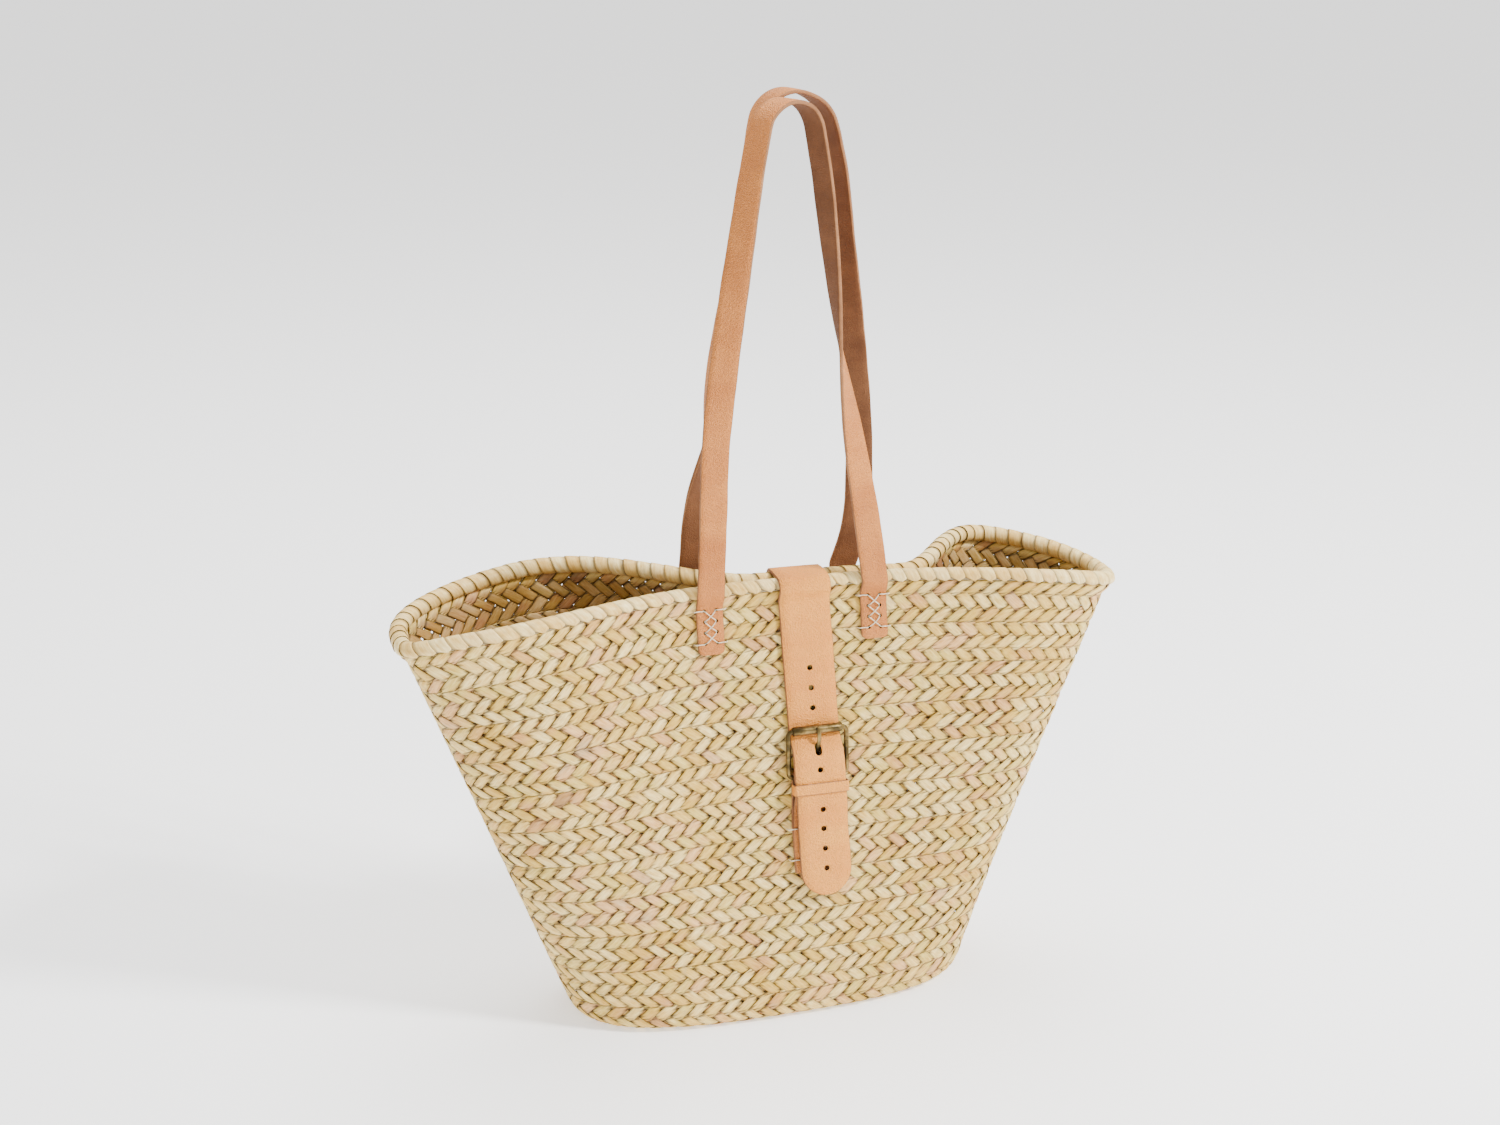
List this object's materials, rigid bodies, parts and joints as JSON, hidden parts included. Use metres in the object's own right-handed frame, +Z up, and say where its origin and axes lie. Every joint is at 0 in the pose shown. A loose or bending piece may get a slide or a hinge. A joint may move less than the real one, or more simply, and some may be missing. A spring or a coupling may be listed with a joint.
{
  "type": "market basket",
  "caption": "Woven palm-leaf market basket with a wrapped rim, leather shoulder handles and a buckled leather strap that closes its mouth.",
  "frame": {"origin": "on the floor under the middle of the base", "axes": "+Z up, +X along the mouth towards the right, the front with the buckle on -Y"},
  "size_m": [0.5744, 0.1663, 0.7123],
  "materials": {
    "palm_braid": "dry plaited palm leaf",
    "palm_core": "dry bundled palm leaf",
    "palm_binding": "smooth wrapped palm leaf",
    "leather": "smooth natural leather with raw edges",
    "strap_leather": "smooth pale natural leather with raw edges",
    "thread": "waxed cotton",
    "brass": "antique, dull"
  },
  "bodies": {
    "basket": {"woven_base": "palm_braid", "wall_course_01": "palm_braid", "wall_course_02": "palm_braid", "wall_course_03": "palm_braid", "wall_course_04": "palm_braid", "wall_course_05": "palm_braid", "wall_course_06": "palm_braid", "wall_course_07": "palm_braid", "wall_course_08": "palm_braid", "wall_course_09": "palm_braid", "wall_course_10": "palm_braid", "wall_course_11": "palm_braid", "rim_core": "palm_core", "rim_binding": "palm_binding", "front_left_tab": "leather", "front_left_stitching": "thread", "front_right_tab": "leather", "front_right_stitching": "thread", "back_left_tab": "leather", "back_left_stitching": "thread", "back_right_tab": "leather", "back_right_stitching": "thread", "closure_strap": "strap_leather", "closure_stitching": "thread", "buckle_chape": "leather", "chape_stitching": "thread", "buckle_frame": "brass"},
    "front_handle": {"front_handle": "leather"},
    "back_handle": {"back_handle": "leather"},
    "closure_tail": {"closure_tail": "strap_leather"},
    "buckle_roller": {"buckle_roller": "brass"},
    "buckle_prong": {"buckle_prong": "brass"},
    "keeper_loop": {"keeper_loop": "strap_leather"}
  },
  "joints": [
    {"name": "front_handle_swing", "type": "hinge", "parent": "basket", "child": "front_handle", "pos_m": [0.01825, -0.02039, 0.3405], "axis": [1, 0.0019, 0], "range_deg": [0, 140]},
    {"name": "back_handle_swing", "type": "hinge", "parent": "basket", "child": "back_handle", "pos_m": [0.01175, 0.03034, 0.3414], "axis": [0.9855, -0.1698, 0], "range_deg": [-140, 0]},
    {"name": "closure_tail_lift", "type": "hinge", "parent": "basket", "child": "closure_tail", "pos_m": [0.03203, -0.05214, 0.17395], "axis": [-0.9999, -0.008, 0.0083], "range_deg": [0, 60]},
    {"name": "roller_spin", "type": "hinge", "parent": "basket", "child": "buckle_roller", "pos_m": [0.03179, -0.0371, 0.23012], "axis": [0.9999, 0.0064, -0.0085], "continuous": true},
    {"name": "prong_tilt", "type": "hinge", "parent": "basket", "child": "buckle_prong", "pos_m": [0.0315, -0.04107, 0.19353], "axis": [0.9999, 0.0064, -0.0085], "range_deg": [0, 3]},
    {"name": "keeper_slide", "type": "slide", "parent": "basket", "child": "keeper_loop", "axis": [0.0067, 0.1829, 0.9831], "range_m": [0, 0.001]}
  ]
}
